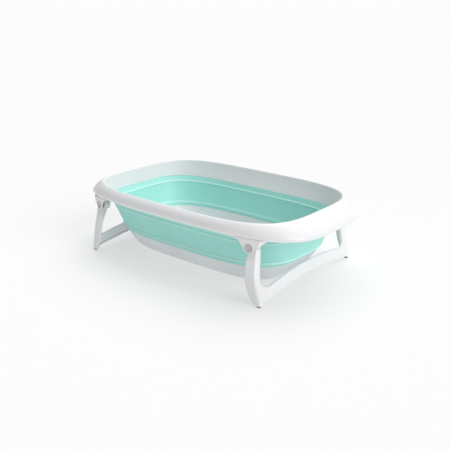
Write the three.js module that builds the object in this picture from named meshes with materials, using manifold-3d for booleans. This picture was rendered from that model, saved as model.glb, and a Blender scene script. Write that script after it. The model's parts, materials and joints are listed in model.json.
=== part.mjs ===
// Collapsible baby bathtub: rigid rim, soft folding wall, rigid floor pan and two folding U-shaped legs.
// Units are millimetres. +Z is up, +X runs along the length, the floor is z = 0 and the centre is x = y = 0.
import * as THREE from 'three';
import { mergeVertices } from 'three/addons/utils/BufferGeometryUtils.js';
import Module from 'manifold-3d';

const wasm = await Module();
wasm.setup();

// ---- driving dimensions ----
const GAP = 0.3;
const RING_POINTS = 80;
const WALL_POINTS = 64;

// Rim: [half length, half width, exponent, z at the sides, z at the ends].
const RIM_OUTER = [
  [406, 240, 3.3, 180, 168],
  [409.5, 247.5, 3.3, 184, 171.5],
  [410, 250, 3.3, 190, 176],
  [404, 248.5, 3.35, 197.5, 183],
  [390, 243.5, 3.5, 205.5, 194],
  [372, 236, 3.7, 211.5, 206],
  [358, 230.5, 3.8, 214, 215],
  [352, 227, 3.85, 211, 213],
  [350.5, 221, 4.0, 198, 198],
  [349.5, 211.5, 4.2, 180, 180],
  [349, 202, 4.3, 163.3, 163.3],
];
const RIM_INNER = [
  [352, 205, 4.3, 163.3, 163.3],
  [352.5, 214.5, 4.2, 180, 180],
  [353.5, 224, 4.0, 198, 197],
  [360, 231.5, 3.8, 209, 209],
  [372, 235.5, 3.7, 207, 201.5],
  [388, 240.5, 3.5, 201.5, 189.5],
  [401, 245, 3.35, 194.5, 180],
  [406.5, 246.5, 3.3, 189, 175.5],
  [403, 237, 3.3, 180, 168],
];

// Soft wall, outside then inside: [half length, half width, exponent, z].
const WALL_OUTER = [
  [349.6, 203.4, 4.3, 163],
  [338.4, 198, 3.9, 151],
  [338.6, 198.3, 3.9, 148],
  [336.4, 196, 3.9, 145],
  [319.4, 178.9, 3.5, 84],
  [319.4, 179.2, 3.5, 81],
  [316.6, 178, 3.5, 78],
  [310.2, 177.2, 3.6, 70.3],
];
const WALL_INNER = [
  [307.6, 174.6, 3.6, 70.3],
  [314, 175.4, 3.5, 78],
  [314.6, 174.8, 3.5, 81],
  [315.6, 175.1, 3.5, 84],
  [333.2, 193, 3.9, 145],
  [333.6, 193.6, 3.9, 148],
  [335.4, 195, 3.9, 151],
  [347, 200.6, 4.3, 163],
];

// Floor pan, outside from the top edge down, then inside from the floor up.
const PAN_OUTER = [
  [309.6, 176.4, 3.6, 70],
  [290.2, 157, 3.75, 40],
  [277.6, 147.5, 3.9, 24.5],
  [270.2, 142.5, 4.0, 18.5],
  [262.3, 136.5, 4.0, 14.8],
  [254, 129, 4.0, 13],
];
const PAN_INNER = [
  [253, 128, 4.0, 16],
  [260.3, 134.5, 4.0, 17.4],
  [266.7, 139.5, 4.0, 20.4],
  [273.6, 144.2, 3.9, 25.5],
  [286.4, 153.7, 3.75, 41],
  [306.4, 173.2, 3.6, 70],
];

// Leg frame.
const PIVOT_X = 285;
const PIVOT_Z = 154.5;
const LEG_Y_IN = 198;
const LEG_Y_OUT = 218;
const LEG_SKIN = 3.2;
const LEG_BOTTOM = 3.3;
const HUB_R = 14.8;
const BAR_DEPTH = 6.6;
const LEG_OUTER_EDGE = [[303.5, 148], [303.8, 132], [304.2, 119], [305.2, 105], [307.5, 85], [312, 66], [318, 48],
  [323, 30], [326, 14], [327.5, LEG_BOTTOM]];
const LEG_INNER_EDGE = [[307.5, LEG_BOTTOM], [299, 13.5], [290, 30], [283, 47.6], [278.8, 63], [277.4, 79], [276.4, 95],
  [275.5, 110], [275.4, 121], [275.8, 132], [276.4, 138]];
const BAR_EDGE = [[322.8, 66], [324.5, 42], [326, 22], [327.5, LEG_BOTTOM]];
// How far the uprights lean out sideways at each height, so the feet stand wider apart than the hinges.
const LEG_SPLAY = [[LEG_BOTTOM, 7], [10, 8.5], [30, 9.7], [50, 10], [67, 9.8], [82, 9], [97, 7.3], [109, 5.2], [121, 2.4],
  [131, 0]];
// Below this height the upright ends in a narrow foot block.
const FOOT_TOP = 10;
const FOOT_BLOCK_Y = 209;
const FOOT_X = 319.5;
const FOOT_Y = 220.5;
const FOOT_HALF = [6.5, 4];
const FOOT_PEG_R = 2.2;
const BAR_TOP = [[0, 60.4], [60, 58.8], [110, 54.4], [150, 48.4], [175, 44.4], [188, 44], [199, 46]];
const BAR_BOTTOM = [[0, 25], [50, 23.8], [100, 19.4], [140, 13.4], [170, 8], [199, LEG_BOTTOM]];

// Lugs moulded to the rim, and the hinge hardware.
const LUG_Y_IN = 218.5;
const LUG_Y_OUT = 222.5;
const LUG_R = 14;
const LUG_END_X = 317;
const LUG_ROOF_Z = 176.4;
const CHEEK_Y_IN = 193.5;
const CHEEK_Y_OUT = 197.6;
const CHEEK_R = 18;
const FLANGE_Z = [171.6, 174.4];
const PIN_R = 4;
const PIN_CLEAR = 0.35;
const BUTTON_R = 10.5;
const BUTTON_HOLE_R = 11;
const BUTTON_Y = [218, 222.9];
const STEM_R = 3.2;
const COUNTERBORE_R = 11.2;
const SPRING_R = 5.6;
const SPRING_WIRE_R = 0.75;
const SPRING_TURNS = 4;
const SCREWS = [[281, 204], [300, 202]];
const SCREW_R = 1.8;
const SCREW_HEAD_R = 3.4;
const BOSS_R = 4.2;

// Drain.
const DRAIN_X = -205;
const DRAIN_HOLE_R = 17;

// ---- materials ----
const MATERIALS = {
  white: ['#eef0f1', 0.42, 0],
  mint: ['#93d8cb', 0.55, 0],
  pale: ['#d3d8da', 0.45, 0],
  button: ['#bdb7b9', 0.5, 0],
  rubber: ['#6b6f72', 0.85, 0],
  steel: ['#b9bcc0', 0.32, 1],
  seal: ['#c9cccb', 0.75, 0],
};

const part = new THREE.Group();
part.name = 'baby_bathtub';

// ---- geometry helpers ----

// One ring of a rounded rectangle; the height changes from the sides to the ends.
function ring([a, b, n, zSide, zEnd = zSide], count) {
  const points = [];
  for (let i = 0; i < count; i += 1) {
    const t = (2 * Math.PI * i) / count;
    const c = Math.cos(t);
    const s = Math.sin(t);
    const x = a * Math.sign(c) * Math.abs(c) ** (2 / n);
    const y = b * Math.sign(s) * Math.abs(s) ** (2 / n);
    const z = zSide + (zEnd - zSide) * Math.abs(x / a) ** 4;
    points.push([x, y, z]);
  }
  return points;
}

function geometryFrom(points, triangles) {
  const geometry = new THREE.BufferGeometry();
  geometry.setAttribute('position', new THREE.Float32BufferAttribute(points.flat(), 3));
  geometry.setIndex(triangles.flat());
  return geometry;
}

// Rings joined in order; 'closed' joins the last to the first, otherwise both ends are capped at their centres.
function loft(stations, count, closed) {
  const points = [];
  const triangles = [];
  for (const station of stations) {
    points.push(...ring(station, count));
  }
  const links = closed ? stations.length : stations.length - 1;
  for (let k = 0; k < links; k += 1) {
    const a = k * count;
    const b = ((k + 1) % stations.length) * count;
    for (let i = 0; i < count; i += 1) {
      const j = (i + 1) % count;
      triangles.push([a + i, a + j, b + j], [a + i, b + j, b + i]);
    }
  }
  if (!closed) {
    const ends = [[0, stations[0], false], [(stations.length - 1) * count, stations.at(-1), true]];
    for (const [first, station, flip] of ends) {
      const centre = points.length;
      points.push([0, 0, station[3]]);
      for (let i = 0; i < count; i += 1) {
        const j = (i + 1) % count;
        triangles.push(flip ? [centre, first + i, first + j] : [centre, first + j, first + i]);
      }
    }
  }
  return geometryFrom(points, triangles);
}

function signedVolume(position, index) {
  let volume = 0;
  for (let i = 0; i < index.length; i += 3) {
    const [a, b, c] = [index[i] * 3, index[i + 1] * 3, index[i + 2] * 3];
    volume += position[a] * (position[b + 1] * position[c + 2] - position[b + 2] * position[c + 1]);
    volume += position[a + 1] * (position[b + 2] * position[c] - position[b] * position[c + 2]);
    volume += position[a + 2] * (position[b] * position[c + 1] - position[b + 1] * position[c]);
  }
  return volume / 6;
}

// A welded copy whose faces all point outwards.
function outward(source) {
  const bare = source.clone();
  bare.deleteAttribute('normal');
  bare.deleteAttribute('uv');
  const geometry = mergeVertices(bare, 1e-4);
  const position = geometry.attributes.position.array;
  const index = Array.from(geometry.index.array);
  const inside = signedVolume(position, index) < 0;
  const kept = [];
  for (let i = 0; i < index.length; i += 3) {
    const [a, b, c] = index.slice(i, i + 3);
    if (a !== b && b !== c && c !== a) {
      kept.push(...(inside ? [a, c, b] : [a, b, c]));
    }
  }
  geometry.setIndex(kept);
  return geometry;
}

function toSolid(source) {
  const geometry = outward(source);
  return new wasm.Manifold(new wasm.Mesh({
    numProp: 3,
    vertProperties: new Float32Array(geometry.attributes.position.array),
    triVerts: new Uint32Array(geometry.index.array),
  }));
}

function toGeometry(solid) {
  const mesh = solid.getMesh();
  const geometry = new THREE.BufferGeometry();
  geometry.setAttribute('position', new THREE.Float32BufferAttribute(Array.from(mesh.vertProperties), 3));
  geometry.setIndex(Array.from(mesh.triVerts));
  return geometry;
}

// Outline drawn in X-Z and carried along Y.
function prismXZ(outline, yFrom, yTo) {
  const shape = new THREE.Shape(outline.map(([x, z]) => new THREE.Vector2(x, z)));
  const geometry = new THREE.ExtrudeGeometry(shape, { depth: yTo - yFrom, bevelEnabled: false });
  geometry.rotateX(Math.PI / 2);
  geometry.translate(0, yTo, 0);
  return geometry;
}

// Outline drawn in Y-Z and carried along X.
function prismYZ(outline, xFrom, xTo) {
  const shape = new THREE.Shape(outline.map(([y, z]) => new THREE.Vector2(y, z)));
  const geometry = new THREE.ExtrudeGeometry(shape, { depth: xTo - xFrom, bevelEnabled: false });
  const frame = new THREE.Matrix4().makeBasis(
    new THREE.Vector3(0, 1, 0),
    new THREE.Vector3(0, 0, 1),
    new THREE.Vector3(1, 0, 0),
  );
  geometry.applyMatrix4(frame);
  geometry.translate(xFrom, 0, 0);
  return geometry;
}

// Outline drawn in X-Y and carried along Z.
function prismXY(outline, zFrom, zTo) {
  const shape = new THREE.Shape(outline.map(([x, y]) => new THREE.Vector2(x, y)));
  const geometry = new THREE.ExtrudeGeometry(shape, { depth: zTo - zFrom, bevelEnabled: false });
  geometry.translate(0, 0, zFrom);
  return geometry;
}

// Turned profile of [radius, height] pairs, closed on the axis or as a ring.
function turned(profile, segments, axis, x, y, z) {
  const closed = profile[0][0] === 0 ? profile : [...profile, profile[0]];
  const geometry = new THREE.LatheGeometry(closed.map(([r, h]) => new THREE.Vector2(r, h)), segments);
  if (axis === 'z') {
    geometry.rotateX(Math.PI / 2);
  }
  geometry.translate(x, y, z);
  return geometry;
}

function rod(radius, from, to, segments, axis, x, z) {
  const profile = [[0, from], [radius, from], [radius, to], [0, to]];
  return turned(profile, segments, axis, x, axis === 'y' ? 0 : z, axis === 'y' ? z : 0);
}

function arc(cx, cz, radius, from, to, steps) {
  const points = [];
  for (let i = 0; i <= steps; i += 1) {
    const angle = THREE.MathUtils.degToRad(from + ((to - from) * i) / steps);
    points.push([cx + radius * Math.cos(angle), cz + radius * Math.sin(angle)]);
  }
  return points;
}

function mirrored(source, sx, sy) {
  const geometry = source.clone();
  geometry.applyMatrix4(new THREE.Matrix4().makeScale(sx, sy, 1));
  return outward(geometry);
}

function addPiece(name, geometry, look) {
  const [color, roughness, metalness] = MATERIALS[look];
  const shown = outward(geometry).toNonIndexed();
  shown.computeVertexNormals();
  const mesh = new THREE.Mesh(shown, new THREE.MeshStandardMaterial({ color, roughness, metalness }));
  mesh.name = name;
  part.add(mesh);
}

const CORNERS = [['right_front', 1, -1], ['right_back', 1, 1], ['left_front', -1, -1], ['left_back', -1, 1]];

// ---- rim with its four lugs ----
function lugSolids() {
  const plateOutline = [
    [LUG_END_X, 184],
    [257, 184],
    [258.5, 172],
    ...arc(PIVOT_X, PIVOT_Z, LUG_R, 208, 325, 10),
    [307, 151],
    [LUG_END_X, 157.5],
  ];
  const roofOutline = [
    [257, 214],
    [257, LUG_Y_OUT],
    [LUG_END_X - 3, LUG_Y_OUT],
    [LUG_END_X, LUG_Y_OUT - 3],
    [LUG_END_X, 195],
    [300, 203],
    [280, 210],
  ];
  const webOutline = [
    [LUG_Y_OUT, 180],
    [LUG_Y_OUT, 157.5],
    [218.5, 159],
    [215, 164],
    [210, 169.5],
    [203, 173.6],
    [196, 175],
    [196, 180],
  ];
  let lug = toSolid(prismXZ(plateOutline, LUG_Y_IN, LUG_Y_OUT));
  lug = lug.add(toSolid(prismXY(roofOutline, LUG_ROOF_Z, LUG_ROOF_Z + 5)));
  lug = lug.add(toSolid(prismYZ(webOutline, LUG_END_X - 3.2, LUG_END_X)));
  lug = lug.subtract(toSolid(rod(BUTTON_HOLE_R, LUG_Y_IN - 2, LUG_Y_OUT + 2, 32, 'y', PIVOT_X, PIVOT_Z)));
  for (const [x, y] of SCREWS) {
    lug = lug.add(toSolid(rod(BOSS_R, FLANGE_Z[1] + GAP, 204, 16, 'z', x, y)));
    lug = lug.subtract(toSolid(rod(SCREW_R + 0.15, FLANGE_Z[1] - 2, 188, 12, 'z', x, y)));
  }
  return toGeometry(lug);
}

let rim = toSolid(loft([...RIM_OUTER, ...RIM_INNER], RING_POINTS, true));
const lugShape = lugSolids();
for (const [, sx, sy] of CORNERS) {
  rim = rim.add(toSolid(mirrored(lugShape, sx, sy)));
}
addPiece('rim_frame', toGeometry(rim), 'white');

// ---- soft wall and floor pan ----
addPiece('bowl_wall', loft([...WALL_OUTER, ...WALL_INNER], WALL_POINTS, true), 'mint');

let pan = toSolid(loft([...PAN_OUTER], WALL_POINTS, false));
const hollow = [...PAN_INNER, [325, 192, 3.6, 98]];
pan = pan.subtract(toSolid(loft(hollow, WALL_POINTS, false)));
pan = pan.subtract(toSolid(rod(DRAIN_HOLE_R, 5, 25, 32, 'z', DRAIN_X, 0)));
addPiece('base_pan', toGeometry(pan), 'pale');

// ---- drain set ----
addPiece('drain_collar', turned([[13.6, 7], [16.6, 7], [16.6, 16.3], [23.5, 16.3], [23.5, 17.6], [22.6, 18.4],
  [14.4, 18.4], [13.6, 17.6]], 32, 'z', DRAIN_X, 0, 0), 'pale');
addPiece('drain_seal', turned([[16.9, 11], [22.5, 11], [22.5, 12.7], [16.9, 12.7]], 32, 'z', DRAIN_X, 0, 0), 'seal');
addPiece('drain_nut', turned([[16.9, 7.4], [24.2, 7.4], [24.2, 9.8], [23.2, 10.7], [16.9, 10.7]], 24, 'z', DRAIN_X, 0, 0),
  'pale');
addPiece('drain_plug', turned([[0, 12.2], [11.6, 12.2], [12.9, 13.4], [12.9, 18.7], [19.5, 18.7], [19.5, 20], [18.2, 21],
  [7.5, 21.6], [4.2, 23.4], [3.6, 27], [5.6, 30], [6.2, 32], [5, 33.6], [0, 34]], 32, 'z', DRAIN_X, 0, 0), 'seal');

// ---- legs ----
function spanOn(side) {
  return (near, far) => [Math.min(side * near, side * far), Math.max(side * near, side * far)];
}

function interpolate(table, at) {
  const next = table.findIndex(([z]) => z >= at);
  if (next <= 0) {
    return next === 0 ? table[0][1] : table.at(-1)[1];
  }
  const [[zLow, low], [zHigh, high]] = [table[next - 1], table[next]];
  return low + ((high - low) * (at - zLow)) / (zHigh - zLow);
}

function legGeometry() {
  const upright = [...LEG_OUTER_EDGE, ...LEG_INNER_EDGE];
  const edgeAt = (table, inset) => table.map(([x, z]) => [x - inset, z]);
  const slab = (near, far) => [...edgeAt(BAR_EDGE, near), ...edgeAt(BAR_EDGE, far).reverse()];
  const pocketEdge = edgeAt(LEG_OUTER_EDGE, LEG_SKIN).filter(([, z]) => z < 140);
  const pocket = [...pocketEdge.filter(([, z]) => z > FOOT_TOP), [323, FOOT_TOP], [240, FOOT_TOP], [240, 122]];
  const footPocket = [...pocketEdge, [pocketEdge.at(-1)[0], -1], [240, -1], [240, 122]];
  const barOutline = [
    ...BAR_TOP.map(([y, z]) => [-y, z]).reverse(),
    ...BAR_TOP.slice(1),
    ...[...BAR_BOTTOM].reverse(),
    ...BAR_BOTTOM.slice(1).map(([y, z]) => [-y, z]),
  ];
  const inset = (list, lift) => list.filter(([y]) => y <= 175).map(([y, z]) => [y, z + lift]);
  const recessOutline = [
    ...inset(BAR_TOP, -LEG_SKIN).map(([y, z]) => [-y, z]).reverse(),
    ...inset(BAR_TOP, -LEG_SKIN).slice(1),
    ...inset(BAR_BOTTOM, LEG_SKIN).reverse(),
    ...inset(BAR_BOTTOM, LEG_SKIN).slice(1).map(([y, z]) => [-y, z]),
  ];
  const bar = toSolid(prismXZ(slab(0, BAR_DEPTH), -199, 199)).intersect(toSolid(prismYZ(barOutline, 250, 350)));
  const recess = toSolid(prismXZ(slab(LEG_SKIN, 2 * BAR_DEPTH), -199, 199))
    .intersect(toSolid(prismYZ(recessOutline, 250, 350)));
  let leg = bar.subtract(recess);
  for (const side of [-1, 1]) {
    const span = spanOn(side);
    let post = toSolid(prismXZ(upright, ...span(LEG_Y_IN, LEG_Y_OUT)));
    post = post.subtract(toSolid(prismXZ(pocket, ...span(LEG_Y_IN - 1, LEG_Y_OUT - LEG_SKIN))));
    post = post.subtract(toSolid(prismXZ(footPocket, ...span(LEG_Y_IN - 1, FOOT_BLOCK_Y))));
    post = post.add(toSolid(rod(HUB_R, ...span(LEG_Y_IN, LEG_Y_OUT), 32, 'y', PIVOT_X, PIVOT_Z)));
    post = post.subtract(toSolid(rod(PIN_R + PIN_CLEAR, ...span(190, 230), 20, 'y', PIVOT_X, PIVOT_Z)));
    post = post.subtract(toSolid(rod(COUNTERBORE_R, ...span(205.6, 230), 28, 'y', PIVOT_X, PIVOT_Z)));
    leg = leg.add(post);
  }
  leg = leg.warp((point) => {
    const reach = Math.min(1, Math.abs(point[1]) / LEG_Y_IN);
    point[1] += Math.sign(point[1]) * interpolate(LEG_SPLAY, point[2]) * reach;
  });
  for (const side of [-1, 1]) {
    const span = spanOn(side);
    const besideLug = prismXZ([[250, 131], [320, 131], [320, 175], [250, 175]], ...span(LEG_Y_OUT, 240));
    leg = leg.subtract(toSolid(besideLug));
    const socket = [[0, -2], [FOOT_PEG_R + GAP, -2], [FOOT_PEG_R + GAP, 9], [0, 9]];
    leg = leg.subtract(toSolid(turned(socket, 16, 'z', FOOT_X, side * FOOT_Y, 0)));
  }
  return toGeometry(leg);
}

const legShape = legGeometry();
addPiece('leg_right', legShape, 'white');
addPiece('leg_left', mirrored(legShape, -1, 1), 'white');

// ---- hinge hardware, four times ----
function bracketGeometry() {
  const cheek = [
    [PIVOT_X + CHEEK_R - 1, FLANGE_Z[1]],
    [PIVOT_X - CHEEK_R + 4, FLANGE_Z[1]],
    ...arc(PIVOT_X, PIVOT_Z, CHEEK_R, 160, 380, 16),
  ];
  const flange = [[274, CHEEK_Y_IN], [274, 208.4], [288, 208.4], [309, 205.6], [309, CHEEK_Y_IN]];
  let bracket = toSolid(prismXZ(cheek, CHEEK_Y_IN, CHEEK_Y_OUT));
  bracket = bracket.add(toSolid(prismXY(flange, ...FLANGE_Z)));
  bracket = bracket.subtract(toSolid(rod(PIN_R + 0.15, 180, 230, 20, 'y', PIVOT_X, PIVOT_Z)));
  for (const [x, y] of SCREWS) {
    bracket = bracket.subtract(toSolid(rod(SCREW_R + 0.3, 160, 180, 12, 'z', x, y)));
  }
  return toGeometry(bracket);
}

function springGeometry() {
  const steps = SPRING_TURNS * 12;
  const [yFrom, yTo] = [206.8, 216.9];
  const points = [];
  for (let i = 0; i <= steps; i += 1) {
    const angle = (2 * Math.PI * i) / 12;
    const y = yFrom + ((yTo - yFrom) * i) / steps;
    points.push(new THREE.Vector3(PIVOT_X + SPRING_R * Math.cos(angle), y, PIVOT_Z + SPRING_R * Math.sin(angle)));
  }
  const wire = new THREE.Shape(arc(0, 0, SPRING_WIRE_R, 0, 300, 5).map(([u, v]) => new THREE.Vector2(u, v)));
  const path = new THREE.CatmullRomCurve3(points);
  return new THREE.ExtrudeGeometry(wire, { steps, bevelEnabled: false, extrudePath: path });
}

const bracketShape = bracketGeometry();
const springShape = springGeometry();
const pinShape = turned([[0, 187], [5.4, 187], [6.4, 188], [6.4, 193.2], [PIN_R, 193.2], [PIN_R, 203.2],
  [PIN_R - 0.8, 204], [0, 204]], 20, 'y', PIVOT_X, 0, PIVOT_Z);
const buttonShape = turned([[0, 209], [STEM_R, 209], [STEM_R, BUTTON_Y[0]], [BUTTON_R, BUTTON_Y[0]],
  [BUTTON_R, BUTTON_Y[1] - 0.8], [BUTTON_R - 0.8, BUTTON_Y[1]], [8.4, BUTTON_Y[1] - 0.1], [0, BUTTON_Y[1] - 1]],
28, 'y', PIVOT_X, 0, PIVOT_Z);
const [footX, footY] = FOOT_HALF;
const footOutline = [[footX, footY - 1.5], [footX - 1.5, footY], [1.5 - footX, footY], [-footX, footY - 1.5],
  [-footX, 1.5 - footY], [1.5 - footX, -footY], [footX - 1.5, -footY], [footX, 1.5 - footY]]
  .map(([x, y]) => [FOOT_X + x, FOOT_Y + y]);
const footShape = toGeometry(
  toSolid(prismXY(footOutline, 0, 3)).add(toSolid(rod(FOOT_PEG_R, 2, 8.4, 16, 'z', FOOT_X, FOOT_Y))),
);

for (const [corner, sx, sy] of CORNERS) {
  addPiece(`foot_pad_${corner}`, mirrored(footShape, sx, sy), 'rubber');
  addPiece(`hinge_bracket_${corner}`, mirrored(bracketShape, sx, sy), 'white');
  addPiece(`hinge_pin_${corner}`, mirrored(pinShape, sx, sy), 'steel');
  addPiece(`release_button_${corner}`, mirrored(buttonShape, sx, sy), 'button');
  addPiece(`button_spring_${corner}`, mirrored(springShape, sx, sy), 'steel');
  SCREWS.forEach(([x, y], i) => {
    const screw = turned([[0, 169.7], [SCREW_HEAD_R - 0.5, 169.7], [SCREW_HEAD_R, 170.2], [SCREW_HEAD_R, 171.3],
      [SCREW_R, 171.3], [SCREW_R, 186], [0, 187.4]], 14, 'z', x, y, 0);
    addPiece(`bracket_screw_${i + 1}_${corner}`, mirrored(screw, sx, sy), 'steel');
  });
}

export default part;
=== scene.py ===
"""Looks of the collapsible baby bathtub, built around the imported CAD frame. Metres, +Z up."""
import json
import math

import bmesh
import bpy
import numpy as np
from mathutils import Matrix, Vector


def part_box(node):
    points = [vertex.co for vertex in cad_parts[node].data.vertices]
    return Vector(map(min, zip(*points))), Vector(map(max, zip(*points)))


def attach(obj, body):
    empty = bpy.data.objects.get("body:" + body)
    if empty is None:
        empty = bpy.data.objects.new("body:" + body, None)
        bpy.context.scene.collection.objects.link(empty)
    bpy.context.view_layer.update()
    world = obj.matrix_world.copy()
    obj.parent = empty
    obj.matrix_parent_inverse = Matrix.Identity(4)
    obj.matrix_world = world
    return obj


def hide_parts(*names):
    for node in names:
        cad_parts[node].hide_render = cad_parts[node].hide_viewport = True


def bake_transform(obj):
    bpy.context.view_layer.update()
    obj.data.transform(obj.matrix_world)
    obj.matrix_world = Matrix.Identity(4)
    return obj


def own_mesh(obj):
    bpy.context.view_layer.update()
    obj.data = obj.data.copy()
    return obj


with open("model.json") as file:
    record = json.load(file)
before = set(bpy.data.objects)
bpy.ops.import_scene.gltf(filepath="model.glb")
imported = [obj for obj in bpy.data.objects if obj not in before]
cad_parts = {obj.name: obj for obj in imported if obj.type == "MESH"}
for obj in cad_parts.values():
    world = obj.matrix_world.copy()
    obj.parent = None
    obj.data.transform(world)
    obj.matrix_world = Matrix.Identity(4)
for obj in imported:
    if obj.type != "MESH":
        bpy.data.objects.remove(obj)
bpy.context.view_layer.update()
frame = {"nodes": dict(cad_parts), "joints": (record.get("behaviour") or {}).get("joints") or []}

MM = 0.001
AROUND = 320          # points round the tub
CORNERS = [("right_front", 1, -1), ("right_back", 1, 1), ("left_front", -1, -1), ("left_back", -1, 1)]

# ---- places read from the frame ----
joints = {j["name"]: j for j in frame["joints"]}
PIVOT_X = joints["leg_right_fold"]["pos_m"][0] / MM
PIVOT_Z = joints["leg_right_fold"]["pos_m"][2] / MM
HINGE_AT = (PIVOT_X, 0, PIVOT_Z)
drain_low, drain_high = (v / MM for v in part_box("drain_collar"))
DRAIN_X = (drain_low.x + drain_high.x) / 2
DRAIN_AT = (DRAIN_X, 0, 0)

# ---- shape tables, mm: [half length, half width, exponent, z at the sides, z at the ends if it differs] ----
RIM_OUTER = [
    [406, 240, 3.3, 180, 168], [408.6, 244.8, 3.3, 181.5, 169.3], [410, 249.4, 3.3, 186.5, 173],
    [409.3, 250, 3.32, 191, 177], [404, 248.6, 3.36, 197.5, 183.4], [391, 244.4, 3.5, 205, 194],
    [374, 237.6, 3.7, 211, 206], [362, 232, 3.8, 214.2, 213.4], [355.5, 229, 3.83, 214.6, 215],
    [352, 227, 3.85, 212, 213], [351, 224.5, 3.9, 206, 207], [350.2, 218, 4.05, 192, 192],
    [349.5, 210, 4.2, 177.5, 177.5], [349, 202.4, 4.3, 163.4, 163.4]]
RIM_INNER = [
    [352, 205.4, 4.3, 163.4, 163.4], [352.5, 214.5, 4.2, 180, 180], [353.5, 224, 4.0, 198, 197],
    [360, 231.5, 3.8, 209, 209], [372, 235.5, 3.7, 207, 201.5], [388, 240.5, 3.5, 201.5, 189.5],
    [401, 245, 3.35, 194.5, 180], [406.5, 246.5, 3.3, 188, 175], [403.4, 238, 3.3, 180, 168]]
WALL_OUTER = [
    [349.8, 203.6, 4.3, 163.2], [344, 200.8, 4.1, 157.6], [338.6, 198.2, 3.92, 151.6]]
BEAD_TOP_OUT = [
    [338.6, 198.2, 3.92, 151.6], [339.6, 199.3, 3.9, 149.8], [339.4, 199.2, 3.9, 147.4],
    [337.4, 197, 3.9, 145.4]]
PANEL_OUT = [
    [337.4, 197, 3.9, 145.4], [333.4, 192.7, 3.83, 132], [327.6, 187, 3.72, 113], [322, 181.7, 3.6, 95],
    [319.2, 178.9, 3.52, 85]]
BEAD_LOW_OUT = [
    [319.2, 178.9, 3.52, 85], [320, 180, 3.5, 83.2], [319.6, 179.9, 3.5, 80.4], [317.4, 178, 3.5, 78.6]]
FOOT_OUT = [[317.4, 178, 3.5, 78.6], [313.6, 177.6, 3.55, 74.4], [310.2, 177.2, 3.6, 70.2]]
WALL_INNER = [
    [307.6, 174.6, 3.6, 70.2], [311, 175, 3.55, 74.6], [314.4, 175.2, 3.5, 78.6]]
BEAD_LOW_IN = [
    [314.4, 175.2, 3.5, 78.6], [313.6, 174.2, 3.5, 80.6], [314, 174.6, 3.5, 83], [315.8, 175.6, 3.52, 85]]
PANEL_IN = [
    [315.8, 175.6, 3.52, 85], [318.8, 178.6, 3.6, 95], [324.4, 184, 3.72, 113], [330.2, 189.8, 3.83, 132],
    [334.2, 194, 3.9, 145.4]]
BEAD_TOP_IN = [
    [334.2, 194, 3.9, 145.4], [332.8, 192.6, 3.9, 147.4], [333, 192.9, 3.9, 149.8],
    [335.4, 195.2, 3.92, 151.6]]
RISE_IN = [[335.4, 195.2, 3.92, 151.6], [341, 197.8, 4.1, 157.8], [346.8, 200.6, 4.3, 163.2]]
PAN_OUTER = [
    [309.6, 176.4, 3.6, 70], [301.5, 168.5, 3.66, 57.5], [290.2, 157, 3.75, 40], [278.4, 148.2, 3.88, 25.6],
    [274, 145, 3.95, 21.2], [267, 140.6, 4.0, 16.9], [260, 135, 4.0, 14.2], [253.5, 129, 4.0, 13]]
PAN_INNER = [
    [252.5, 128, 4.0, 16], [260.3, 134.5, 4.0, 17.4], [266.7, 139.5, 4.0, 20.4], [273.6, 144.2, 3.9, 25.5],
    [286.4, 153.7, 3.75, 41], [299, 166, 3.66, 59], [306.4, 173.2, 3.6, 70]]


# ---- mesh helpers ----
def spline(points, count):
    """count rows on a smooth curve through the points, in any number of dimensions."""
    p = np.asarray(points, float)
    if len(p) == 2:
        t = np.linspace(0, 1, count)[:, None]
        return p[0] + (p[1] - p[0]) * t
    step = np.maximum(np.linalg.norm(np.diff(p, axis=0), axis=1), 1e-9) ** 0.5
    knots = np.concatenate([[0], np.cumsum(step)])
    slope = np.zeros_like(p)
    slope[1:-1] = (p[2:] - p[:-2]) / (knots[2:] - knots[:-2])[:, None]
    slope[0] = (p[1] - p[0]) / step[0]
    slope[-1] = (p[-1] - p[-2]) / step[-1]
    out = []
    for u in np.linspace(0, knots[-1], count):
        k = min(np.searchsorted(knots, u, side="right") - 1, len(p) - 2)
        h = knots[k + 1] - knots[k]
        s = (u - knots[k]) / h
        out.append((2 * s**3 - 3 * s**2 + 1) * p[k] + (s**3 - 2 * s**2 + s) * h * slope[k]
                   + (3 * s**2 - 2 * s**3) * p[k + 1] + (s**3 - s**2) * h * slope[k + 1])
    return np.array(out)


def even_angles(count):
    """Superellipse parameters that give nearly even steps round the tub, the same in each quarter."""
    t = np.linspace(0, math.pi / 2, 4000)
    x, y = 380 * np.cos(t) ** (2 / 3.6), 225 * np.sin(t) ** (2 / 3.6)
    run = np.concatenate([[0], np.cumsum(np.hypot(np.diff(x), np.diff(y)))])
    quarter = np.interp(np.linspace(0, run[-1], count // 4 + 1), run, t)[:-1]
    return np.concatenate([quarter + k * math.pi / 2 if k % 2 == 0
                           else (k + 1) * math.pi / 2 - np.concatenate([[math.pi / 2], quarter[:0:-1]])
                           for k in range(4)])


ANGLES = even_angles(AROUND)


def ring(station, angles=ANGLES):
    a, b, n, z_side = station[:4]
    z_end = station[4] if len(station) > 4 else z_side
    c, s = np.cos(angles), np.sin(angles)
    x = a * np.sign(c) * np.abs(c) ** (2 / n)
    y = b * np.sign(s) * np.abs(s) ** (2 / n)
    z = z_side + (z_end - z_side) * np.abs(x / a) ** 4
    return np.column_stack([x, y, z])


def new_object(name, verts, faces, scale=MM):
    mesh = bpy.data.meshes.new(name)
    mesh.from_pydata([tuple(v) for v in np.asarray(verts) * scale], [], faces)
    mesh.validate()
    mesh.update()
    obj = bpy.data.objects.new(name, mesh)
    bpy.context.scene.collection.objects.link(obj)
    return obj


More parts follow.
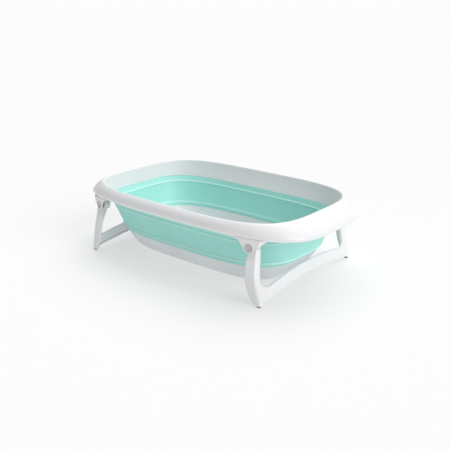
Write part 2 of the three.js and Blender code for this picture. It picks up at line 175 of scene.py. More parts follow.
def grid_faces(rows, cols, wrap_rows, wrap_cols):
    faces = []
    for r in range(rows if wrap_rows else rows - 1):
        for c in range(cols if wrap_cols else cols - 1):
            r2, c2 = (r + 1) % rows, (c + 1) % cols
            faces.append((r * cols + c, r * cols + c2, r2 * cols + c2, r2 * cols + c))
    return faces


def face_outward(obj):
    bm = bmesh.new()
    bm.from_mesh(obj.data)
    bmesh.ops.recalc_face_normals(bm, faces=bm.faces)
    bm.to_mesh(obj.data)
    bm.free()


def loft(name, stations, closed=True):
    """Rings through the stations. closed joins last to first; otherwise both ends are filled."""
    rows = [ring(s) for s in stations]
    verts = np.vstack(rows)
    faces = grid_faces(len(rows), AROUND, closed, True)
    if not closed:
        for k in (0, len(rows) - 1):
            centre = len(verts)
            verts = np.vstack([verts, [[0, 0, rows[k][:, 2].mean()]]])
            faces += [(centre, k * AROUND + i, k * AROUND + (i + 1) % AROUND) for i in range(AROUND)]
    obj = new_object(name, verts, faces)
    face_outward(obj)
    return obj


def smooth(obj, angle=35):
    for poly in obj.data.polygons:
        poly.use_smooth = True
    obj.data.set_sharp_from_angle(angle=math.radians(angle))


def modify(obj, kind, **values):
    m = obj.modifiers.new(kind.lower(), kind)
    for key, value in values.items():
        setattr(m, key, value)
    return m


def apply_modifiers(obj):
    bpy.context.view_layer.update()
    depsgraph = bpy.context.evaluated_depsgraph_get()
    done = bpy.data.meshes.new_from_object(obj.evaluated_get(depsgraph))
    old = obj.data
    obj.modifiers.clear()
    obj.data = done
    bpy.data.meshes.remove(old)


def bevel(obj, width, segments=2, angle=40):
    modify(obj, "BEVEL", width=width * MM, segments=segments, limit_method="ANGLE",
           angle_limit=math.radians(angle), harden_normals=False)
    apply_modifiers(obj)
    smooth(obj)


def cut(obj, tool):
    modify(obj, "BOOLEAN", operation="DIFFERENCE", object=tool, solver="EXACT")
    apply_modifiers(obj)
    bpy.data.objects.remove(tool)


def turned(name, profile, segments=64, axis="z", at=(0, 0, 0)):
    """Profile of [radius, height] turned about the axis, from axis to axis or closed on itself."""
    on_axis = profile[0][0] == 0
    verts, faces, rings = [], [], []
    turns = [2 * math.pi * i / segments for i in range(segments)]
    for r, h in profile:
        if r == 0:
            rings.append([len(verts)])
            verts.append((0, 0, h))
        else:
            rings.append(list(range(len(verts), len(verts) + segments)))
            verts += [(r * math.cos(a), r * math.sin(a), h) for a in turns]
    pairs = list(zip(rings, rings[1:])) + ([] if on_axis else [(rings[-1], rings[0])])
    for low, high in pairs:
        for i in range(segments):
            j = (i + 1) % segments
            if len(low) == 1:
                faces.append((low[0], high[j], high[i]))
            elif len(high) == 1:
                faces.append((low[i], low[j], high[0]))
            else:
                faces.append((low[i], low[j], high[j], high[i]))
    v = np.array(verts, float)
    if axis == "y":
        v = v[:, [0, 2, 1]]
    obj = new_object(name, v + np.array(at), faces)
    face_outward(obj)
    return obj


def cylinder(radius, low, high, segments, axis, at):
    """Solid rod from low to high along the axis, used to cut holes."""
    return turned("hole", [[0, low], [radius, low], [radius, high], [0, high]], segments, axis, at)


def mirror_copy(source, name, sx, sy):
    mesh = source.data.copy()
    mesh.transform(Matrix.Diagonal((sx, sy, 1, 1)))
    if sx * sy < 0:
        mesh.flip_normals()
    obj = bpy.data.objects.new(name, mesh)
    bpy.context.scene.collection.objects.link(obj)
    return obj


# ---- materials ----
def material(name, color, dark, rough, rough_span, grain, grain_scale, metallic=0.0, marks=0.0, soft=0.0):
    """Moulded or drawn surface: slow colour drift, uneven gloss, a fine grain and faint rubbing marks."""
    mat = bpy.data.materials.new(name)
    mat.use_nodes = True
    nodes, links = mat.node_tree.nodes, mat.node_tree.links
    shader = nodes["Principled BSDF"]
    shader.inputs["Metallic"].default_value = metallic
    if soft:
        shader.inputs["Subsurface Weight"].default_value = soft
        shader.inputs["Subsurface Scale"].default_value = 0.004
        shader.inputs["Subsurface Radius"].default_value = (0.7, 1.0, 0.9)
    place = nodes.new("ShaderNodeTexCoord")

    def noise(scale, detail, distortion=0.0):
        n = nodes.new("ShaderNodeTexNoise")
        n.inputs["Scale"].default_value = scale
        n.inputs["Detail"].default_value = detail
        n.inputs["Roughness"].default_value = 0.55
        n.inputs["Distortion"].default_value = distortion
        links.new(place.outputs["Object"], n.inputs["Vector"])
        return n.outputs["Fac"]

    def ramp(fac, stops):
        r = nodes.new("ShaderNodeValToRGB")
        r.color_ramp.elements[0].position, r.color_ramp.elements[0].color = stops[0]
        r.color_ramp.elements[1].position, r.color_ramp.elements[1].color = stops[1]
        links.new(fac, r.inputs["Fac"])
        return r.outputs["Color"]

    drift = ramp(noise(5.0, 3.0, 0.4), [(0.3, (*dark, 1)), (0.68, (*color, 1))])
    speck = nodes.new("ShaderNodeMix")
    speck.data_type = "RGBA"
    speck.blend_type = "MULTIPLY"
    speck.inputs["Factor"].default_value = 0.5
    links.new(drift, speck.inputs["A"])
    speckles = ramp(noise(160.0, 2.0), [(0.35, (0.965, 0.965, 0.965, 1)), (0.6, (1, 1, 1, 1))])
    links.new(speckles, speck.inputs["B"])
    links.new(speck.outputs["Result"], shader.inputs["Base Color"])

    gloss = nodes.new("ShaderNodeMapRange")
    gloss.inputs["To Min"].default_value = rough - rough_span
    gloss.inputs["To Max"].default_value = rough + rough_span
    gloss.inputs["From Min"].default_value = 0.3
    gloss.inputs["From Max"].default_value = 0.7
    links.new(noise(38.0, 5.0, 0.8), gloss.inputs["Value"])
    links.new(gloss.outputs["Result"], shader.inputs["Roughness"])

    fine = nodes.new("ShaderNodeBump")
    fine.inputs["Strength"].default_value = grain
    fine.inputs["Distance"].default_value = 0.0002
    links.new(noise(grain_scale, 3.0), fine.inputs["Height"])
    last = fine
    if marks:
        rub = nodes.new("ShaderNodeTexWave")
        rub.inputs["Scale"].default_value = 9.0
        rub.inputs["Distortion"].default_value = 14.0
        rub.inputs["Detail"].default_value = 4.0
        rub.inputs["Detail Scale"].default_value = 2.5
        links.new(place.outputs["Object"], rub.inputs["Vector"])
        slow = nodes.new("ShaderNodeBump")
        slow.inputs["Strength"].default_value = marks
        slow.inputs["Distance"].default_value = 0.0004
        links.new(rub.outputs["Fac"], slow.inputs["Height"])
        links.new(fine.outputs["Normal"], slow.inputs["Normal"])
        last = slow
    links.new(last.outputs["Normal"], shader.inputs["Normal"])
    return mat


# name: colour, darker colour, roughness, its spread, grain, grain scale, then what only some have
LOOKS = {
    "rim_white": ((0.84, 0.845, 0.855), (0.815, 0.825, 0.835), 0.36, 0.07, 0.18, 900, {"marks": 0.02}),
    "mint_tpe": ((0.375, 0.79, 0.72), (0.35, 0.77, 0.70), 0.5, 0.06, 0.3, 1100, {"soft": 0.12}),
    # same mint TPE painted lighter: a painted highlight along the crease beads
    "mint_bead_painted_highlight": ((0.56, 0.90, 0.84), (0.54, 0.885, 0.82), 0.42, 0.05, 0.2, 1100, {"soft": 0.12}),
    "pan_pale": ((0.78, 0.815, 0.825), (0.67, 0.71, 0.73), 0.4, 0.07, 0.2, 800, {"marks": 0.02}),
    "button_grey": ((0.56, 0.53, 0.54), (0.53, 0.50, 0.51), 0.42, 0.05, 0.25, 900, {}),
    "foot_rubber": ((0.25, 0.255, 0.26), (0.21, 0.215, 0.22), 0.8, 0.08, 0.6, 700, {}),
    "seal_grey": ((0.60, 0.63, 0.62), (0.56, 0.60, 0.59), 0.62, 0.06, 0.4, 800, {}),
    "steel": ((0.62, 0.63, 0.65), (0.52, 0.53, 0.55), 0.3, 0.1, 0.25, 500, {"metallic": 1.0}),
}
MATS = {name: material(name, *look[:-1], **look[-1]) for name, look in LOOKS.items()}


def dress(obj, look, body, replaced=()):
    obj.data.materials.clear()
    obj.data.materials.append(MATS[look])
    if body:
        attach(obj, body)
    if replaced:
        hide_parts(*replaced)
    return obj


# ---- rim ----
rim = loft("rim_shell", np.vstack([spline(RIM_OUTER, 64), spline(RIM_INNER, 34)]))
bevel(rim, 0.7)
dress(rim, "rim_white", "rim", ["rim_frame"])

# ---- soft wall: panel and raised crease beads in one piece; the bead rows get a lighter mint, a painted highlight ----
# third value 1 marks the bead rows that get the lighter mint of the painted highlight
RUNS = [(WALL_OUTER, 8, 0), (BEAD_TOP_OUT, 9, 1), (PANEL_OUT, 34, 0), (BEAD_LOW_OUT, 9, 1), (FOOT_OUT, 7, 0),
        (WALL_INNER, 6, 0), (BEAD_LOW_IN, 9, 1), (PANEL_IN, 34, 0), (BEAD_TOP_IN, 9, 1), (RISE_IN, 8, 0)]
stations, painted_highlight_rows = [], []
for points, count, painted_highlight in RUNS:
    rows = spline([p[:4] for p in points], count)
    joined = stations and np.allclose(stations[-1], rows[0])
    rows = rows[1:] if joined else rows
    painted_highlight_rows += [painted_highlight] * (len(rows) if joined else len(rows) - 1) + ([] if joined else [0])
    stations += list(rows)
wall = loft("bowl_wall_skin", stations)
smooth(wall, 50)
dress(wall, "mint_tpe", None, ["bowl_wall"])
# bead faces take the lighter mint: painted highlight on the creases
wall.data.materials.append(MATS["mint_bead_painted_highlight"])
for poly in wall.data.polygons:
    low = min(v // AROUND for v in poly.vertices)
    high = max(v // AROUND for v in poly.vertices)
    if high - low == 1 and painted_highlight_rows[low] == 1 and painted_highlight_rows[high] == 1:
        poly.material_index = 1
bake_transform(wall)

# ---- floor pan ----
SHARES = (0.12, 0.3, 0.5, 0.7, 0.88, 0.97)      # of the way from the middle of the floor to its edge


def shrunk(edge, share):
    """A ring of the flat floor, rounder towards the middle."""
    a, b, n, z = edge
    return [a * share, b * share, n - 1.2 * (1 - share), z]


floor_rings = [shrunk(PAN_INNER[0], f) for f in SHARES]
under_rings = [shrunk(PAN_OUTER[-1], f) for f in reversed(SHARES)]
pan_rings = np.vstack([floor_rings, spline(PAN_INNER, 30), spline(PAN_OUTER, 34), under_rings])
pan = loft("floor_pan", pan_rings, closed=False)
cut(pan, cylinder(17, 5, 25, 64, "z", DRAIN_AT))
bevel(pan, 0.6)
dress(pan, "pan_pale", "base", ["base_pan"])

# ---- legs: one channel section carried along a U; tables of [z, x] ----
POST_OUT = [
    [150, 303.3], [148, 303.5], [125, 304], [105, 305.2], [85, 307.6], [66, 312], [48, 318], [30, 323],
    [14, 326], [3.3, 327.5]]
POST_IN = [
    [150, 282], [144, 278.6], [138, 276.6], [122, 275.4], [110, 275.5], [95, 276.4], [79, 277.4], [63, 279],
    [47.6, 283], [30, 290], [13.5, 299], [3.3, 307.5]]
BAR_OUT = [[66, 322.8], [42, 324.5], [22, 326], [3.3, 327.5]]
# outer edge (|y|, z), inner edge (|y|, z), how far the outer and inner side walls reach in, corner radius
LEG_OUTLINE = [
    [213.4, 151, 198, 151, 1, 0.9, 1.6], [215.6, 143, 198, 143, 1, 0.7, 1.4],
    [217.9, 132, 198.2, 132, 1, 0.5, 1.4], [220.4, 119, 198.8, 119, 1, 0.25, 1.4],
    [223.2, 105, 200, 106, 1, 0.16, 1.5], [225.8, 92, 201.4, 94, 1, 0.12, 1.8],
    [227.6, 76, 203, 81, 1, 0.1, 3.2], [228.5, 60, 203.6, 70, 1, 0.1, 6.4],
    [228.6, 43, 203, 60, 1, 0.09, 10], [228.2, 25, 200, 53, 1, 0.08, 11.5],
    [227.2, 10, 195, 49, 0.95, 0.06, 9.5], [225, 4.3, 191.4, 47.6, 0.9, 0.04, 5],
    [220.6, 3.3, 188, 46.9, 0.86, 0.02, 4], [216.2, 4.6, 184.6, 46.6, 0.7, 0, 3.4],
    [210.5, 8.3, 180.6, 46.6, 0.4, 0, 3], [202, 9.8, 173.6, 47, 0.16, 0, 2.8],
    [189, 11, 162, 48.4, 0.04, 0, 2.4], [168, 13.4, 148, 50.4, 0, 0, 2.2],
    [146, 16, 132, 52.6, 0, 0, 2.2], [100, 21.4, 95, 57, 0, 0, 2.2], [50, 24.4, 48, 60, 0, 0, 2.2],
    [0, 25.4, 0, 61, 0, 0, 2.2]]
SKIN = 3.0                # wall thickness of the legs
BAR_DEPTH = 6.6           # depth of the crossbar
LIP_FLAT = 1.2            # flat at the free edge of the inner side wall
BAR_FROM_Y = 205          # |y| where the upright's face starts to become the crossbar's
BAR_BLEND = 32            # over how much of |y| it does so
RECESS_R, RECESS_Y = 11.3, 213       # room in the leg for the pressed button
# z, rise of the upright's front face towards its ridge
FACE_SLANT = [
    [3.3, 0.04], [25, 0.08], [60, 0.1], [76, 0.14], [92, 0.2], [106, 0.26], [119, 0.29], [127, 0.2],
    [133, 0.06], [145, 0]]
# z, how far the front face turns in from its ridge
LIP = [
    [3.3, 3], [10, 4], [25, 4.5], [60, 4.5], [76, 5.5], [92, 9], [106, 12], [120, 16], [132, 17], [145, 14]]
# z, rounding of the ridge
RIDGE_R = [[3.3, 16], [45, 14], [70, 9], [95, 4.4], [145, 3.4]]


def x_of(table, z):
    """Second value of the table at height z."""
    t = sorted(table)
    return np.interp(z, [p[0] for p in t], [p[1] for p in t])


def face_profile(z, reach, depth, start):
    """Outer surface from the corner to the free edge: (into the piece, towards the middle) pairs."""
    run = np.array([0.0, depth - 0.8 - 2.9 * reach])
    begin = np.array([0.0, start])
    ridge = run - [x_of(FACE_SLANT, z) * reach * run[1], 0]
    edge = np.array([ridge[0] + x_of(LIP, z) * reach, depth])
    along, down = ridge - begin, edge - ridge
    trim = min(x_of(RIDGE_R, z), 0.45 * np.linalg.norm(down), 0.45 * np.linalg.norm(along))
    first = ridge - along / np.linalg.norm(along) * trim
    second = ridge + down / np.linalg.norm(down) * trim
    points = [begin + (first - begin) * k for k in np.linspace(0, 1, 9)[:-1]]
    points += [(1 - k) ** 2 * first + 2 * k * (1 - k) * ridge + k * k * second for k in np.linspace(0, 1, 9)]
    points += [second + (edge - second) * k for k in np.linspace(0, 1, 5)[1:]]
    return np.array(points)


def leg_mesh(name):
    """The whole leg frame, from one hinge down, across the crossbar and up to the other."""
    half = spline(LEG_OUTLINE, 130)
    side = np.concatenate([-np.ones(len(half)), np.ones(len(half) - 1)])
    rows = np.vstack([half, half[:-1][::-1]])
    arc = [(1 - math.cos(k), 1 - math.sin(k)) for k in np.linspace(0, math.pi / 2, 6)]
    verts = []
    for (yo, zo, yi, zi, reach_o, reach_i, r), s in zip(rows, side):
        outer, inner = np.array([s * yo, zo]), np.array([s * yi, zi])
        width = np.linalg.norm(inner - outer)
        across = (inner - outer) / width
        reach_o, reach_i = np.clip([reach_o, reach_i], 0, 1)
        loop = []

        def put(a, depth):
            y, z = outer + across * a
            to_bar = np.clip((BAR_FROM_Y - abs(y)) / BAR_BLEND, 0, 1)
            to_bar = to_bar * to_bar * (3 - 2 * to_bar)
            loop.append((x_of(POST_OUT, z) * (1 - to_bar) + x_of(BAR_OUT, z) * to_bar - depth, y, z))

        def depth_at(a, reach):
            z = (outer + across * a)[1]
            return BAR_DEPTH + (x_of(POST_OUT, z) - x_of(POST_IN, z) - BAR_DEPTH) * reach

        d_o, d_i = depth_at(0, reach_o), depth_at(width, reach_i)
        ro, ri = min(r, d_o * 0.6), min(r * 0.8, d_i * 0.6)
        face = face_profile(zo, reach_o, d_o, ro)
        slope = np.gradient(face, axis=0)
        slope /= np.linalg.norm(slope, axis=1)[:, None]
        back = face + SKIN * np.column_stack([slope[:, 1], -slope[:, 0]])
        back[:, 1] = np.maximum(back[:, 1], SKIN + 0.02 * np.arange(1, len(back) + 1))
        for a, d in face[::-1]:
            put(a, d)
        for a, d in [(a * ro, d * ro) for a, d in arc][1:]:
            put(a, d)
        for k in np.linspace(0, 1, 6)[1:-1]:
            put(ro + (width - ro - ri) * k, 0)
        for a, d in [(a * ri, d * ri) for a, d in arc][::-1][:-1]:
            put(width - a, d)
        for k in np.linspace(0, 1, 4):
            put(width, ri * (1 - k) + (d_i - LIP_FLAT) * k)
        put(width - LIP_FLAT, d_i)
        put(width - SKIN, d_i)
        put(width - SKIN, SKIN)
        put(SKIN + 0.6 * ro, SKIN)
        put(SKIN, min(SKIN + 0.6 * ro, max(ro, SKIN) - 0.01))
        for a, d in back:
            put(a, d)
        verts += loop
        cols = len(loop)
    count = len(rows)
    faces = grid_faces(count, cols, False, True)
    faces.append(tuple(range(cols)))
    faces.append(tuple((count - 1) * cols + i for i in reversed(range(cols))))
    leg = new_object(name, verts, faces)
    face_outward(leg)
    return leg


leg_source = leg_mesh("leg_source")
for low, high in ((-240, -RECESS_Y), (RECESS_Y, 240)):
    cut(leg_source, cylinder(RECESS_R, low, high, 48, "y", HINGE_AT))
smooth(leg_source, 42)
HUB = [
    [4.4, 198], [13.6, 198], [14.6, 199.2], [14.6, 211.6], [13.6, 212.6], [11.2, 212.6], [11.2, 205.6],
    [4.4, 205.6]]
hub_source = turned("hub_source", HUB, 56, "y", HINGE_AT)
smooth(hub_source)
for side, sx in (("right", 1), ("left", -1)):
    leg = mirror_copy(leg_source, f"leg_frame_{side}", sx, 1)
    smooth(leg, 40)
    dress(leg, "rim_white", f"leg_{side}_frame", [f"leg_{side}"])

# ---- lugs: a skin that grows out of the skirt, turns the corner and ends in a curved web ----
SKIRT = [408.8, 245.6, 3.3, 182, 170]
LUG_END = [[184, 319], [173, 313.4], [162, 310.4], [152, 308.4], [146, 307]]     # z, x of the outboard edge
LUG_R, LUG_CORNER = 14.4, 3.4
LUG_FACE_Y = 222.6
LUG_SLANT = 0.26      # the lug's face follows the curve of the rim
LUG_FROM_X = 244      # end towards the middle of the tub
LUG_TOP_X = 319       # outboard end at the skirt
LUG_LOW_X = 307       # outboard end at the bottom
LUG_BROW_Z = 174.5    # where the skin turns from the skirt into the flat face
BROW_SHARE = 0.42     # share of the rows above the brow
LUG_HOLE_R = 11.1
WEB_DEPTH = 31        # how far the end web runs in behind the face
# depth into the web, z of its lower edge
WEB_LOW = [[0, 155.2], [3.4, 156.6], [9, 160], [16, 162.6], [24, 164], [31, 164.6]]


def skirt_point(x):
    a, b, n, z_side, z_end = SKIRT
    return np.array([x, b * (1 - (x / a) ** n) ** (1 / n), z_side + (z_end - z_side) * (x / a) ** 4])


def lug_face(x):
    return LUG_FACE_Y - LUG_SLANT * (x - PIVOT_X)


def lug_bottom(x):
    if x < PIVOT_X - 12.4:
        return np.interp(x, [LUG_FROM_X, 250, 257, 265, 272.6], [179.5, 177.2, 172.4, 160.4, 147.2])
    if x > PIVOT_X + 12.4:
        return np.interp(x, [297.4, 301, 304, 307], [147.2, 152.2, 155.4, 155.2])
    return PIVOT_Z - math.sqrt(LUG_R**2 - (x - PIVOT_X) ** 2)


def lug_mesh(name):
    rows, span = 26, 84
    path = [(t, 0.0) for t in np.linspace(0, 1, span)] + [(1.0, q) for q in np.linspace(0, 1, 26)[1:]]
    web_low = spline(WEB_LOW, 40)
    verts = []
    for t, q in path:
        deep = q * WEB_DEPTH
        top = skirt_point(LUG_FROM_X + (LUG_TOP_X - LUG_FROM_X) * t + 9 * q)
        if t < 1:
            bottom = lug_bottom(LUG_FROM_X + (LUG_LOW_X - LUG_FROM_X) * t)
        else:
            bottom = np.interp(deep, web_low[:, 0], web_low[:, 1])
        brow = min(top[2] - 4, max(LUG_BROW_Z, bottom + 1.5))
        for k in range(rows):
            v = k / (rows - 1)
            ease = math.sin(min(v / BROW_SHARE, 1) * math.pi / 2)
            if v < BROW_SHARE:
                z = top[2] + (brow - top[2]) * (1 - math.cos(v / BROW_SHARE * math.pi / 2))
            else:
                z = brow + (min(bottom, brow - 0.8) - brow) * (v - BROW_SHARE) / (1 - BROW_SHARE)
            x = LUG_FROM_X + (x_of(LUG_END, z) - LUG_FROM_X) * t
            y = lug_face(x) - deep
            if deep < LUG_CORNER and t == 1:
                x += LUG_CORNER * 0.3 * math.sin(deep / LUG_CORNER * math.pi)
            x += 12 * q * (1 - min(1, (top[2] - z) / 20)) ** 2
            verts.append((top[0] + (x - top[0]) * ease, -(top[1] + (y - top[1]) * ease), z))
    lug = new_object(name, verts, grid_faces(len(path), rows, False, False))
    face_outward(lug)
    outward = sum(1 if p.normal.y < 0 else -1 for p in lug.data.polygons)
    if outward < 0:
        lug.data.flip_normals()
    modify(lug, "SOLIDIFY", thickness=3.0 * MM, offset=-1)
    apply_modifiers(lug)
    return lug


lug_source = lug_mesh("lug_source")
cut(lug_source, cylinder(LUG_HOLE_R, -245, -205, 56, "y", HINGE_AT))
bevel(lug_source, 0.5, 2, 50)

# ---- button, pin and spring, made at the right back corner: [radius, y] ----
LEAN_FROM = 218.6     # y, what lies further out leans with the lug's face
COLLAR = [
    [11.15, 219], [11.15, 222.9], [11.5, 223.5], [12.2, 223.75], [13.0, 223.5], [13.6, 222.7], [13.7, 219]]
BUTTON = [
    [0, 209], [3.2, 209], [3.2, 218.4], [10.7, 218.4], [10.7, 222.4], [10.4, 223.1], [9.7, 223.4],
    [9.0, 223.2], [8.4, 222.5], [5, 222.1], [0, 222.0]]
PIN = [
    [0, 187.0], [2.2, 187.0], [2.5, 187.5], [5.2, 187.2], [6.1, 187.7], [6.4, 188.6], [6.4, 193.2],
    [4, 193.2], [4, 203.2], [3.2, 204], [0, 204]]


def lean(obj):
    """Slants the outer end of a turned piece to lie in the lug's face."""
    for v in obj.data.vertices:
        if v.co.y > LEAN_FROM * MM:
            v.co.y -= LUG_SLANT * (v.co.x - PIVOT_X * MM)


collar_source = turned("collar_source", COLLAR, 72, "y", HINGE_AT)
lean(collar_source)
smooth(collar_source, 50)
button_source = turned("button_source", BUTTON, 72, "y", HINGE_AT)
lean(button_source)
smooth(button_source)
pin_source = turned("pin_source", PIN, 40, "y", HINGE_AT)
smooth(pin_source)


def spring_mesh(name, turns=5.5, wire=0.75, radius=5.6, y_from=207, y_to=216.9):
    steps, sides = int(turns * 24), 10
    verts = []
    for i in range(steps + 1):
        f = i / steps
        pitch = np.interp(f, [0, 0.1, 0.9, 1], [0, 0.04, 0.96, 1])
        ang = f * turns * 2 * math.pi
        out = np.array([math.cos(ang), 0, math.sin(ang)])
        c = np.array([PIVOT_X, y_from + (y_to - y_from) * pitch, PIVOT_Z]) + radius * out
        for k in range(sides):
            w = 2 * math.pi * k / sides
            verts.append(c + wire * (math.cos(w) * out + math.sin(w) * np.array([0, 1, 0])))
    faces = grid_faces(steps + 1, sides, False, True)
    faces += [tuple(range(sides)), tuple(steps * sides + i for i in reversed(range(sides)))]
    obj = new_object(name, verts, faces)
    face_outward(obj)
    smooth(obj)
    return obj


spring_source = spring_mesh("spring_source")


def prism(name, outline, axis, low, high):
    """Outline carried along an axis: points are (x, z) for y and (x, y) for z."""
    count = len(outline)
    verts = [(u, h, v) if axis == "y" else (u, v, h) for h in (low, high) for u, v in outline]
    faces = grid_faces(2, count, False, True)
    faces += [tuple(reversed(range(count))), tuple(range(count, 2 * count))]
    obj = new_object(name, verts, faces)
    face_outward(obj)
    return obj


def bracket_mesh(name, cheek_r=18, flange=(171.6, 174.4)):
    """The inner cheek of a hinge, with a screwed flange under the rim."""
    angles = np.radians(np.linspace(160, 380, 48))
    cheek_outline = [(PIVOT_X + cheek_r - 1, flange[1]), (PIVOT_X - cheek_r + 1.6, flange[1])]
    cheek_outline += [(PIVOT_X + cheek_r * math.cos(a), PIVOT_Z + cheek_r * math.sin(a)) for a in angles]
    bracket = prism(name, cheek_outline, "y", 193.5, 197.6)
    plate_outline = [(274, 193.5), (274, 208.4), (288, 208.4), (309, 205.6), (309, 193.5)]
    plate = prism("plate", plate_outline, "z", *flange)
    modify(bracket, "BOOLEAN", operation="UNION", object=plate, solver="EXACT")
    apply_modifiers(bracket)
    bpy.data.objects.remove(plate)
    cut(bracket, cylinder(4.15, 180, 205, 40, "y", HINGE_AT))
    for x, y in ((281, 204), (300, 202)):
        cut(bracket, cylinder(2.1, 165, 180, 24, "z", (x, y, 0)))
    bevel(bracket, 0.7, 3, 40)
    return bracket


PAD_ROWS = (      # how far each ring stands in from the pad's edge, z
    (2.2, 0.3), (1.4, 0.0), (0.8, 0.1), (0.2, 0.5), (0.0, 1.1), (0.0, 2.4), (0.3, 3.0), (2.2, 3.05))


def pad_mesh(name, sides=48):
    low, high = (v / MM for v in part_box("foot_pad_right_back"))
    cx, cy = (low.x + high.x) / 2, (low.y + high.y) / 2
    hx, hy = (high.x - low.x) / 2, (high.y - low.y) / 2
    turn = np.linspace(0, 2 * math.pi, sides + 1)[:-1]
    c, s = np.cos(turn), np.sin(turn)
    rows = []
    for inset, z in PAD_ROWS:
        x = cx + (hx - inset) * np.sign(c) * np.abs(c) ** 0.7
        y = cy + (hy - inset) * np.sign(s) * np.abs(s) ** 0.7
        rows.append(np.column_stack([x, y, np.full(sides, z)]))
    faces = grid_faces(len(rows), sides, False, True)
    faces += [tuple(reversed(range(sides))), tuple((len(rows) - 1) * sides + i for i in range(sides))]
    obj = new_object(name, np.vstack(rows), faces)
    face_outward(obj)
    smooth(obj)
    return obj


pad_source = pad_mesh("pad_source")
bracket_source = bracket_mesh("bracket_source")

for corner, sx, sy in CORNERS:
    side = corner.split("_")[0]
    parts = [
        (lug_source, "lug", -1, "rim_white", "rim", None),
        (collar_source, "button_collar", 1, "rim_white", "rim", None),
        (button_source, "button_cap", 1, "button_grey", f"button_{corner}", "release_button"),
        (pin_source, "pin", 1, "steel", "rim", "hinge_pin"),
        (spring_source, "spring", 1, "steel", "rim", "button_spring"),
        (pad_source, "pad", 1, "foot_rubber", f"leg_{side}_frame", "foot_pad"),
        (bracket_source, "hinge_cheek", 1, "rim_white", "rim", "hinge_bracket"),
        (hub_source, "leg_hub", 1, "rim_white", f"leg_{side}_frame", None)]
    for source, label, sign, look, body, node in parts:
        piece = mirror_copy(source, f"{label}_{corner}", sx, sy * sign)
        dress(piece, look, body, [f"{node}_{corner}"] if node else ())
        if label == "spring":
            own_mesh(piece)
    for node in (f"bracket_screw_1_{corner}", f"bracket_screw_2_{corner}"):
        obj = frame["nodes"][node]
        modify(obj, "WELD", merge_threshold=0.00002)
        modify(obj, "BEVEL", width=0.2 * MM, segments=2, limit_method="ANGLE",
               angle_limit=math.radians(40))
        obj.data.materials.clear()
        obj.data.materials.append(MATS["steel"])

for source in (leg_source, hub_source, lug_source, collar_source, button_source, pin_source, spring_source,
               pad_source, bracket_source):
    bpy.data.objects.remove(source)

# ---- drain: profiles of [radius, z] ----
DRAIN_RING = [
    [13.6, 7], [16.6, 7], [16.6, 16.3], [23.5, 16.3], [23.5, 17.4], [22.9, 18.1], [21.6, 18.4], [16, 18.4],
    [14.6, 18.0], [13.8, 17.2]]
WASHER = [
    [16.9, 11.2], [17.3, 10.9], [22, 10.9], [22.5, 11.3], [22.5, 12.4], [22, 12.7],
    [17.3, 12.7], [16.9, 12.3]]
NUT = [[16.9, 7.4], [24.0, 7.4], [24.2, 9.8], [23.2, 10.7], [16.9, 10.7]]
NUT_RIDGES, NUT_RIDGE_DEPTH, NUT_RIM_R = 12, 0.035, 23
STOPPER = [
    [0, 12.2], [11.2, 12.2], [12.2, 12.6], [12.9, 13.6], [12.5, 15], [12.9, 16.4], [12.9, 18.7], [19.0, 18.7],
    [19.5, 19.2], [19.5, 20], [18.6, 20.8], [9, 21.5], [6, 22.2], [4.3, 23.8], [3.7, 26.4], [4.6, 28.6],
    [5.8, 30.2], [6.2, 31.8], [5.6, 33.2], [3.6, 34], [0, 34.1]]

collar = turned("drain_ring", DRAIN_RING, 72, "z", DRAIN_AT)
smooth(collar)
dress(collar, "pan_pale", "base", ["drain_collar"])
washer = turned("drain_washer", WASHER, 64, "z", DRAIN_AT)
smooth(washer)
dress(washer, "seal_grey", "base", ["drain_seal"])
nut = turned("drain_ring_nut", NUT, 72, "z", DRAIN_AT)
for v in nut.data.vertices:
    along = v.co.x - DRAIN_X * MM
    if math.hypot(along, v.co.y) > NUT_RIM_R * MM:
        ridge = 0.5 + 0.5 * math.cos(NUT_RIDGES * math.atan2(v.co.y, along))
        v.co.x = DRAIN_X * MM + along * (1 - NUT_RIDGE_DEPTH * ridge)
        v.co.y *= 1 - NUT_RIDGE_DEPTH * ridge
smooth(nut)
dress(nut, "pan_pale", "base", ["drain_nut"])
plug = turned("drain_stopper", STOPPER, 56, "z", DRAIN_AT)
smooth(plug, 50)
dress(plug, "seal_grey", "plug", ["drain_plug"])

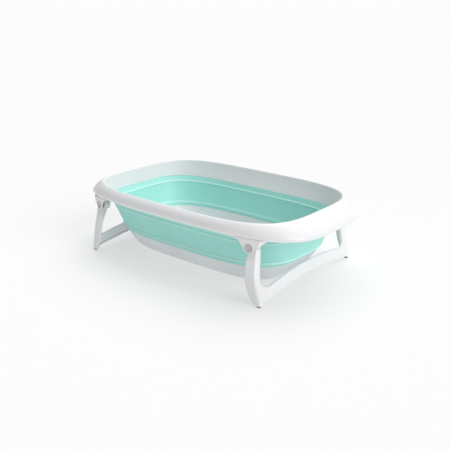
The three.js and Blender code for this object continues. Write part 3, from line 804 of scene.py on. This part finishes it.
# ---- stage, light and camera ----
bpy.ops.mesh.primitive_plane_add(size=400, location=(0, 0, 0))
floor = bpy.context.object
floor.name = "floor"
floor_mat = bpy.data.materials.new("floor_white")
floor_mat.use_nodes = True
floor_shader = floor_mat.node_tree.nodes["Principled BSDF"]
floor_shader.inputs["Base Color"].default_value = (0.42, 0.42, 0.42, 1)
floor_shader.inputs["Roughness"].default_value = 0.95
floor_shader.inputs["Specular IOR Level"].default_value = 0.0
floor_shader.inputs["Emission Color"].default_value = (1, 1, 1, 1)
floor_shader.inputs["Emission Strength"].default_value = 0.5
floor.data.materials.append(floor_mat)

scene = bpy.context.scene
scene.view_settings.view_transform = "Standard"
world = bpy.data.worlds.new("studio")
scene.world = world
world.use_nodes = True
world.node_tree.nodes["Background"].inputs["Color"].default_value = (1, 1, 1, 1)
world.node_tree.nodes["Background"].inputs["Strength"].default_value = 0.38


def soft_sun(name, azimuth, elevation, strength, spread):
    data = bpy.data.lights.new(name, "SUN")
    data.energy = strength
    data.angle = math.radians(spread)
    light = bpy.data.objects.new(name, data)
    scene.collection.objects.link(light)
    az, el = math.radians(azimuth), math.radians(elevation)
    towards = Vector((math.sin(az) * math.cos(el), -math.cos(az) * math.cos(el), math.sin(el)))
    light.rotation_euler = towards.to_track_quat("Z", "Y").to_euler()


soft_sun("key", 90, 30, 1.45, 40)
soft_sun("back", 200, 60, 1.9, 60)

CAM_AZIMUTH, CAM_ELEVATION = math.radians(39.61), math.radians(19.32)
CAM_DISTANCE = 2.015
CAM_TARGET = Vector((0.0147, 0.0121, 0.093))
back = Vector((math.sin(CAM_AZIMUTH) * math.cos(CAM_ELEVATION),
               -math.cos(CAM_AZIMUTH) * math.cos(CAM_ELEVATION),
               math.sin(CAM_ELEVATION)))
camera = bpy.data.objects.new("camera", bpy.data.cameras.new("camera"))
bpy.context.scene.collection.objects.link(camera)
camera.data.sensor_width = 36
camera.data.lens = 52.9
camera.location = CAM_TARGET + back * CAM_DISTANCE
camera.rotation_euler = (-back).to_track_quat("-Z", "Y").to_euler()
bpy.context.scene.camera = camera
